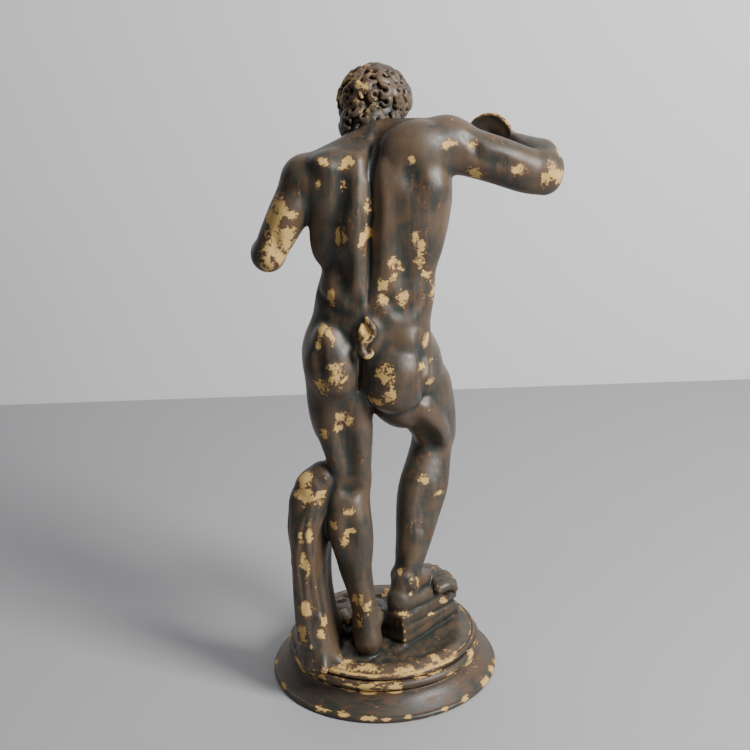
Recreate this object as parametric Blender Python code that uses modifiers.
"""A painted cast iron garden statue: a dancing faun in the antique manner, on its turned socle.

Two castings stand one on the other. The first is the figure with its tree stump, its
foot-clapper, its two hand cymbals and the round moulded plinth. The second is the flared
round socle below. The frame has +Z up, its origin at the middle of the socle's underside,
and the figure faces -Y, so its left is at +X. Lengths are in millimetres up to the point
where a mesh is made, and in metres from there on.
"""

import math

import bmesh
import bpy
from mathutils import Matrix, Vector

MM = 0.001
MERGE = 0.00005

# The socle and the plinth, which every other size is drawn against.
BASE_RADIUS = 127.0
NECK_RADIUS = 107.0
SOCLE_TOP = 26.7
LIP = 1.5
LIP_HEIGHT = 5.0
COVE_CURVE = 1.6
COVE_STEPS = 7
PLINTH_FOOT = 27.0
TORUS_RADIUS = 104.0
TORUS_HEIGHT = 32.6
TORUS_SIZE = 5.2
RIM_RADIUS = 101.5
RIM_HEIGHT = 42.0
RIM_SIZE = 3.0
GROUND = 45.5
GROUND_RISE = 4.5
DOME_RADII = (0, 45, 80)
RIM_TURNS = 5
TORUS_TURNS = 7
SOCLE_STEPS = 56
PLINTH_STEPS = 60

# How the joined masses of the figure are skinned.
SKIN_VOXEL = 0.0026
SKIN_SMOOTHING = 10
SKIN_KEPT = 0.042
RING_STEPS = 28
BALL_STEPS = 24
BALL_RINGS = 14

# The trunk, as level ellipses: height, centre x, centre y, half breadth, half depth.
TRUNK_TURN = 10.0
TRUNK = (
    (372, 6, 4, 58, 34),
    (396, 3, 5, 63, 37),
    (420, 2, 4, 63, 37),
    (443, -3, 1, 61, 35),
    (465, -8, -3, 59, 34),
    (492, -9, -8, 65, 38),
    (520, -10, -12, 73, 42),
    (550, -12, -17, 76, 44),
    (575, -13, -22, 72, 43),
    (594, -12, -28, 58, 36),
    (608, -12, -36, 34, 27),
)

# Round limbs, as points with a radius: x, y, z, radius.
LIMBS = {
    "neck": ((-8, -40, 591, 26), (-10, -62, 604, 22), (-12, -80, 618, 23)),
    "left_thigh": (
        (40, 2, 384, 35),
        (38, 10, 345, 33),
        (33, 17, 302, 31),
        (30, 23, 262, 24),
        (29, 26, 243, 21),
    ),
    "left_shin": (
        (29, 26, 243, 21),
        (32, 36, 214, 23),
        (31, 42, 185, 23),
        (28, 45, 150, 19),
        (23, 48, 115, 15),
        (19, 50, 84, 14),
    ),
    "left_foot": (
        (17, 56, 62, 14),
        (17, 30, 66, 14),
        (17, 4, 61, 13),
        (17, -20, 56, 10),
    ),
    "right_thigh": (
        (-26, -4, 382, 38),
        (-40, -20, 346, 37),
        (-54, -38, 310, 34),
        (-63, -54, 275, 28),
        (-65, -60, 262, 24),
    ),
    "right_shin": (
        (-67, -60, 260, 22),
        (-58, -44, 232, 24),
        (-47, -29, 200, 24),
        (-36, -8, 155, 19),
        (-28, 7, 125, 15),
        (-27, 11, 107, 15),
    ),
    "right_foot": (
        (-19, 20, 93, 15),
        (-36, 0, 95, 16),
        (-56, -24, 95, 16),
        (-68, -38, 93, 14),
    ),
    "left_arm": ((65, -17, 564, 24), (88, -8, 526, 22), (107, -2, 489, 19)),
    "left_forearm": (
        (107, -2, 488, 19),
        (108, -32, 488, 17),
        (104, -76, 490, 11),
        (101, -92, 491, 11),
    ),
    "right_arm": ((-80, -16, 597, 27), (-130, -13, 584, 23), (-181, -11, 562, 21)),
    "right_forearm": (
        (-184, -18, 568, 20),
        (-177, -46, 577, 17),
        (-160, -84, 581, 12),
        (-154, -96, 582, 12),
    ),
    "stump": (
        (70, 66, 52, 22),
        (74, 62, 85, 19),
        (79, 56, 118, 16),
        (82, 50, 150, 15),
        (82, 44, 185, 16),
        (78, 38, 212, 20),
        (70, 33, 236, 23),
        (60, 31, 252, 18),
    ),
    "stump_web": (
        (65, 24, 49, 20),
        (69, 25, 90, 17),
        (70, 25, 130, 15),
        (67, 24, 175, 14),
        (59, 24, 215, 13),
    ),
    "left_nape": ((-4, -36, 599, 19), (36, -22, 585, 17), (62, -16, 574, 16)),
    "right_nape": ((-14, -38, 604, 19), (-50, -24, 606, 18), (-80, -16, 608, 16)),
    "left_spine_column": (
        (18, 26, 440, 13),
        (16, 20, 470, 14),
        (15, 18, 510, 15),
        (14, 15, 545, 15),
        (12, 9, 580, 13),
    ),
    "right_spine_column": (
        (-12, 26, 440, 13),
        (-14, 20, 470, 14),
        (-15, 18, 510, 15),
        (-16, 15, 545, 15),
        (-18, 9, 580, 13),
    ),
    "tail": (
        (7, 38, 432, 5),
        (1, 43, 421, 6),
        (8, 47, 410, 6),
        (11, 50, 401, 6),
        (6, 51, 396, 5),
    ),
}

# Further masses, as ellipsoids: centre, half lengths, turn about x, turn about z.
MASSES = {
    "skull": ((-10, -86, 631), (41, 43, 39), -20, 10),
    "nape_hair": ((-4, -58, 611), (35, 25, 28), -28, 12),
    "face": ((-12, -98, 604), (25, 26, 30), -28, 12),
    "nose": ((-17, -119, 588), (5, 8, 9), -28, 12),
    "left_ear": ((25, -94, 622), (5, 8, 10), -20, 10),
    "right_ear": ((-49, -86, 620), (5, 8, 10), -20, 10),
    "left_buttock": ((43, 24, 375), (34, 33, 40), 0, 10),
    "right_buttock": ((-24, 24, 360), (38, 37, 44), 0, 12),
    "left_hip": ((52, 0, 382), (23, 30, 38), 0, 0),
    "right_hip": ((-57, -24, 320), (23, 32, 34), 0, 0),
    "right_hamstring": ((-30, -2, 316), (30, 28, 23), 0, 0),
    "left_flank": ((26, 2, 444), (37, 32, 46), 0, 0),
    "left_blade": ((36, -1, 560), (31, 22, 38), 0, 0),
    "right_blade": ((-46, 3, 570), (38, 24, 38), 0, 0),
    "left_deltoid": ((65, -14, 564), (24, 26, 26), 0, 0),
    "right_deltoid": ((-84, -16, 601), (28, 26, 25), 0, 0),
    "left_chest": ((22, -52, 548), (34, 20, 26), 12, 0),
    "right_chest": ((-44, -46, 552), (36, 20, 28), 12, 0),
    "belly": ((-12, -24, 455), (42, 26, 60), 0, 10),
    "left_calf": ((32, 45, 198), (26, 20, 42), 0, 0),
    "right_calf": ((-50, -22, 203), (28, 20, 40), 0, 0),
    "leaf": ((-2, -40, 372), (17, 10, 22), 0, 0),
    "left_hand": ((101, -104, 491), (12, 18, 16), 0, 0),
    "right_hand": ((-146, -108, 576), (16, 17, 15), 0, 0),
}
# Curls stand on the crown and the back of the skull, in rows round its middle.
CURL_ROWS = ((72, 3), (48, 9), (22, 13), (-4, 11))
CURL_RADIUS = 8.0
CURL_SINK = 0.9
LOW_ROW_SWEEP = 230
CYMBAL_RADIUS = 26.0
CYMBAL_DISH = 4.0
CYMBAL_THICK = 7.0
CYMBAL_BOSS = 12.0
# Each cymbal's centre, and the way its open side faces.
CYMBALS = {
    "left_cymbal": ((96, -98, 494), (-0.96, 0.05, -0.25)),
    "right_cymbal": ((-133, -96, 585), (0.42, 0.88, 0.16)),
}
CLAPPER_HEEL = Vector((-8, 34, 0))
CLAPPER_TOE = Vector((-73, -40, 0))
CLAPPER_WIDTH = 38.0
# Each board as the heights of its underside and its top, at the heel and at the toes.
BOARDS = {
    "lower_board": ((41.5, 41.5), (66.5, 60.0)),
    "upper_board": ((65.0, 66.0), (81.0, 81.0)),
}


def add_trunk(bm):
    """Lofts the level ellipses of the trunk into one closed body."""
    rings = []
    turn = math.radians(TRUNK_TURN)
    for height, cx, cy, half_x, half_y in TRUNK:
        ring = []
        for step in range(RING_STEPS):
            angle = math.tau * step / RING_STEPS
            x = half_x * math.cos(angle)
            y = half_y * math.sin(angle)
            ring.append(
                bm.verts.new(
                    (
                        cx + x * math.cos(turn) + y * math.sin(turn),
                        cy - x * math.sin(turn) + y * math.cos(turn),
                        height,
                    )
                )
            )
        rings.append(ring)
    for lower, upper in zip(rings, rings[1:]):
        for step in range(RING_STEPS):
            after = (step + 1) % RING_STEPS
            bm.faces.new((lower[step], lower[after], upper[after], upper[step]))
    bm.faces.new(reversed(rings[0]))
    bm.faces.new(rings[-1])


def add_ellipsoid(bm, centre, half_lengths, turn_x=0.0, turn_z=0.0):
    """Adds one ball of muscle or bone."""
    matrix = (
        Matrix.Translation(Vector(centre))
        @ Matrix.Rotation(math.radians(turn_z), 4, "Z")
        @ Matrix.Rotation(math.radians(turn_x), 4, "X")
        @ Matrix.Diagonal(Vector((*half_lengths, 1.0)))
    )
    bmesh.ops.create_uvsphere(
        bm, u_segments=BALL_STEPS, v_segments=BALL_RINGS, radius=1.0, matrix=matrix
    )


def add_limb(bm, points):
    """Adds tapered lengths with a ball at each joint between them."""
    for x, y, z, radius in points:
        add_ellipsoid(bm, (x, y, z), (radius, radius, radius))
    for first, second in zip(points, points[1:]):
        start = Vector(first[:3])
        along = Vector(second[:3]) - start
        matrix = Matrix.Translation(
            start + along / 2
        ) @ along.to_track_quat("Z", "Y").to_matrix().to_4x4()
        bmesh.ops.create_cone(
            bm,
            cap_ends=True,
            segments=BALL_STEPS,
            radius1=first[3],
            radius2=second[3],
            depth=along.length,
            matrix=matrix,
        )


def add_disc(bm, centre, normal):
    """Adds one hand cymbal: a thin plate with a boss on its outer side."""
    turn = Vector(normal).normalized().to_track_quat("Z", "Y").to_matrix().to_4x4()
    place = Matrix.Translation(Vector(centre)) @ turn
    bmesh.ops.create_cone(
        bm,
        cap_ends=True,
        segments=RING_STEPS,
        radius1=CYMBAL_RADIUS - CYMBAL_DISH,
        radius2=CYMBAL_RADIUS,
        depth=CYMBAL_THICK,
        matrix=place,
    )
    add_ellipsoid(bm, place @ Vector((0, 0, -CYMBAL_DISH)), (CYMBAL_BOSS,) * 3)


def add_block(bm, low, high):
    """Adds a closed block from four lower corners and the four above them."""
    verts = [bm.verts.new(corner) for corner in (*low, *high)]
    bm.faces.new((verts[3], verts[2], verts[1], verts[0]))
    bm.faces.new(verts[4:])
    for step in range(4):
        after = (step + 1) % 4
        bm.faces.new(
            (verts[step], verts[after], verts[after + 4], verts[step + 4])
        )


def add_curls(bm):
    """Adds the larger curls, as rows of small balls over the skull."""
    centre, half_lengths, _, turn = MASSES["skull"]
    for height, count in CURL_ROWS:
        rise = math.radians(height)
        for step in range(count):
            # The lowest row leaves the face open.
            sweep = 360 if height > 0 else LOW_ROW_SWEEP
            angle = math.radians(90 + turn + sweep * ((step + 0.5) / count - 0.5))
            out = Vector(
                (
                    math.cos(angle) * math.cos(rise) * half_lengths[0],
                    math.sin(angle) * math.cos(rise) * half_lengths[1],
                    math.sin(rise) * half_lengths[2],
                )
            )
            place = Vector(centre) + out * CURL_SINK
            add_ellipsoid(bm, place, (CURL_RADIUS,) * 3)


def add_clapper(bm):
    """Adds the foot-clapper: two boards hinged under the heel, open under the toes."""
    along = (CLAPPER_TOE - CLAPPER_HEEL).normalized()
    across = Vector((along.y, -along.x, 0)) * CLAPPER_WIDTH / 2
    ends = (
        CLAPPER_HEEL + across,
        CLAPPER_TOE + across,
        CLAPPER_TOE - across,
        CLAPPER_HEEL - across,
    )
    for undersides, tops in BOARDS.values():
        sides = []
        for heel_height, toe_height in (undersides, tops):
            heights = (heel_height, toe_height, toe_height, heel_height)
            sides.append([end + Vector((0, 0, up)) for end, up in zip(ends, heights)])
        add_block(bm, *sides)


def new_material(name, colour, roughness):
    material = bpy.data.materials.new(name)
    material.use_nodes = True
    shader = material.node_tree.nodes["Principled BSDF"]
    shader.inputs["Base Color"].default_value = (*colour, 1.0)
    shader.inputs["Roughness"].default_value = roughness
    shader.inputs["Metallic"].default_value = 0.0
    return material


def new_object(name, bm, collection, material):
    """Makes an object in metres from a mesh drawn in millimetres."""
    bmesh.ops.scale(bm, vec=(MM, MM, MM), verts=bm.verts)
    mesh = bpy.data.meshes.new(name)
    bm.to_mesh(mesh)
    bm.free()
    made = bpy.data.objects.new(name, mesh)
    collection.objects.link(made)
    mesh.materials.append(material)
    return made


def round_bead(radius, height, size, turns):
    """Gives the outer half of a round bead, from its top to its foot."""
    points = []
    for step in range(turns + 1):
        angle = math.pi / 2 - math.pi * step / turns
        points.append(
            (radius + size * math.cos(angle), height + size * math.sin(angle))
        )
    return points


def make_figure(collection, material, plinth):
    """Skins the joined masses and casts them in one with the plinth."""
    bm = bmesh.new()
    add_trunk(bm)
    for points in LIMBS.values():
        add_limb(bm, points)
    for centre, half_lengths, turn_x, turn_z in MASSES.values():
        add_ellipsoid(bm, centre, half_lengths, turn_x, turn_z)
    for centre, normal in CYMBALS.values():
        add_disc(bm, centre, normal)
    add_curls(bm)
    add_clapper(bm)
    made = new_object("faun_figure", bm, collection, material)
    skin = made.modifiers.new("Skin", "REMESH")
    skin.mode = "VOXEL"
    skin.voxel_size = SKIN_VOXEL
    soften = made.modifiers.new("Soften", "SMOOTH")
    soften.factor = 0.5
    soften.iterations = SKIN_SMOOTHING
    thin = made.modifiers.new("Thin", "DECIMATE")
    thin.ratio = SKIN_KEPT
    join = made.modifiers.new("Plinth", "BOOLEAN")
    join.operation = "UNION"
    join.object = plinth


def plinth_profile():
    """Gives the plinth's outline: domed ground, a thin rim bead, a torus and its foot."""
    dome = [
        (radius, GROUND + GROUND_RISE * math.cos(math.pi / 2 * radius / RIM_RADIUS))
        for radius in DOME_RADII
    ]
    rim = round_bead(RIM_RADIUS, RIM_HEIGHT, RIM_SIZE, RIM_TURNS)
    torus = round_bead(TORUS_RADIUS, TORUS_HEIGHT, TORUS_SIZE, TORUS_TURNS)
    return dome + rim + torus + [(TORUS_RADIUS, PLINTH_FOOT), (0, PLINTH_FOOT)]


def socle_profile():
    """Gives the socle's outline: a long cove flaring to a low upright edge."""
    flare = BASE_RADIUS - LIP - NECK_RADIUS
    fall = SOCLE_TOP - LIP_HEIGHT
    cove = []
    for step in range(COVE_STEPS + 1):
        share = step / COVE_STEPS
        cove.append(
            (NECK_RADIUS + flare * share**COVE_CURVE, SOCLE_TOP - fall * share)
        )
    edge = [(BASE_RADIUS, LIP_HEIGHT - LIP), (BASE_RADIUS, LIP), (BASE_RADIUS - LIP, 0)]
    return [(0, SOCLE_TOP)] + cove + edge + [(0, 0)]


def make_turned(name, profile, steps, collection, material):
    """Turns an outline of radius and height about the upright axis."""
    bm = bmesh.new()
    verts = [bm.verts.new((radius, 0, height)) for radius, height in profile]
    for upper, lower in zip(verts, verts[1:]):
        bm.edges.new((upper, lower))
    made = new_object(name, bm, collection, material)
    screw = made.modifiers.new("Turn", "SCREW")
    screw.steps = steps
    screw.render_steps = steps
    screw.use_merge_vertices = True
    screw.merge_threshold = MERGE
    return made


def main():
    for leftover in list(bpy.data.objects):
        bpy.data.objects.remove(leftover)
    statue = bpy.data.collections.new("garden_statue")
    helpers = bpy.data.collections.new("garden_statue_helpers")
    for collection in (statue, helpers):
        bpy.context.scene.collection.children.link(collection)
    bronze = new_material("bronze_paint", (0.075, 0.045, 0.025), 0.42)
    dark_bronze = new_material("dark_bronze_paint", (0.06, 0.045, 0.03), 0.45)
    plinth = make_turned(
        "plinth", plinth_profile(), PLINTH_STEPS, helpers, bronze
    )
    plinth.hide_render = True
    plinth.display_type = "WIRE"
    make_figure(statue, bronze, plinth)
    make_turned("round_socle", socle_profile(), SOCLE_STEPS, statue, dark_bronze)


main()
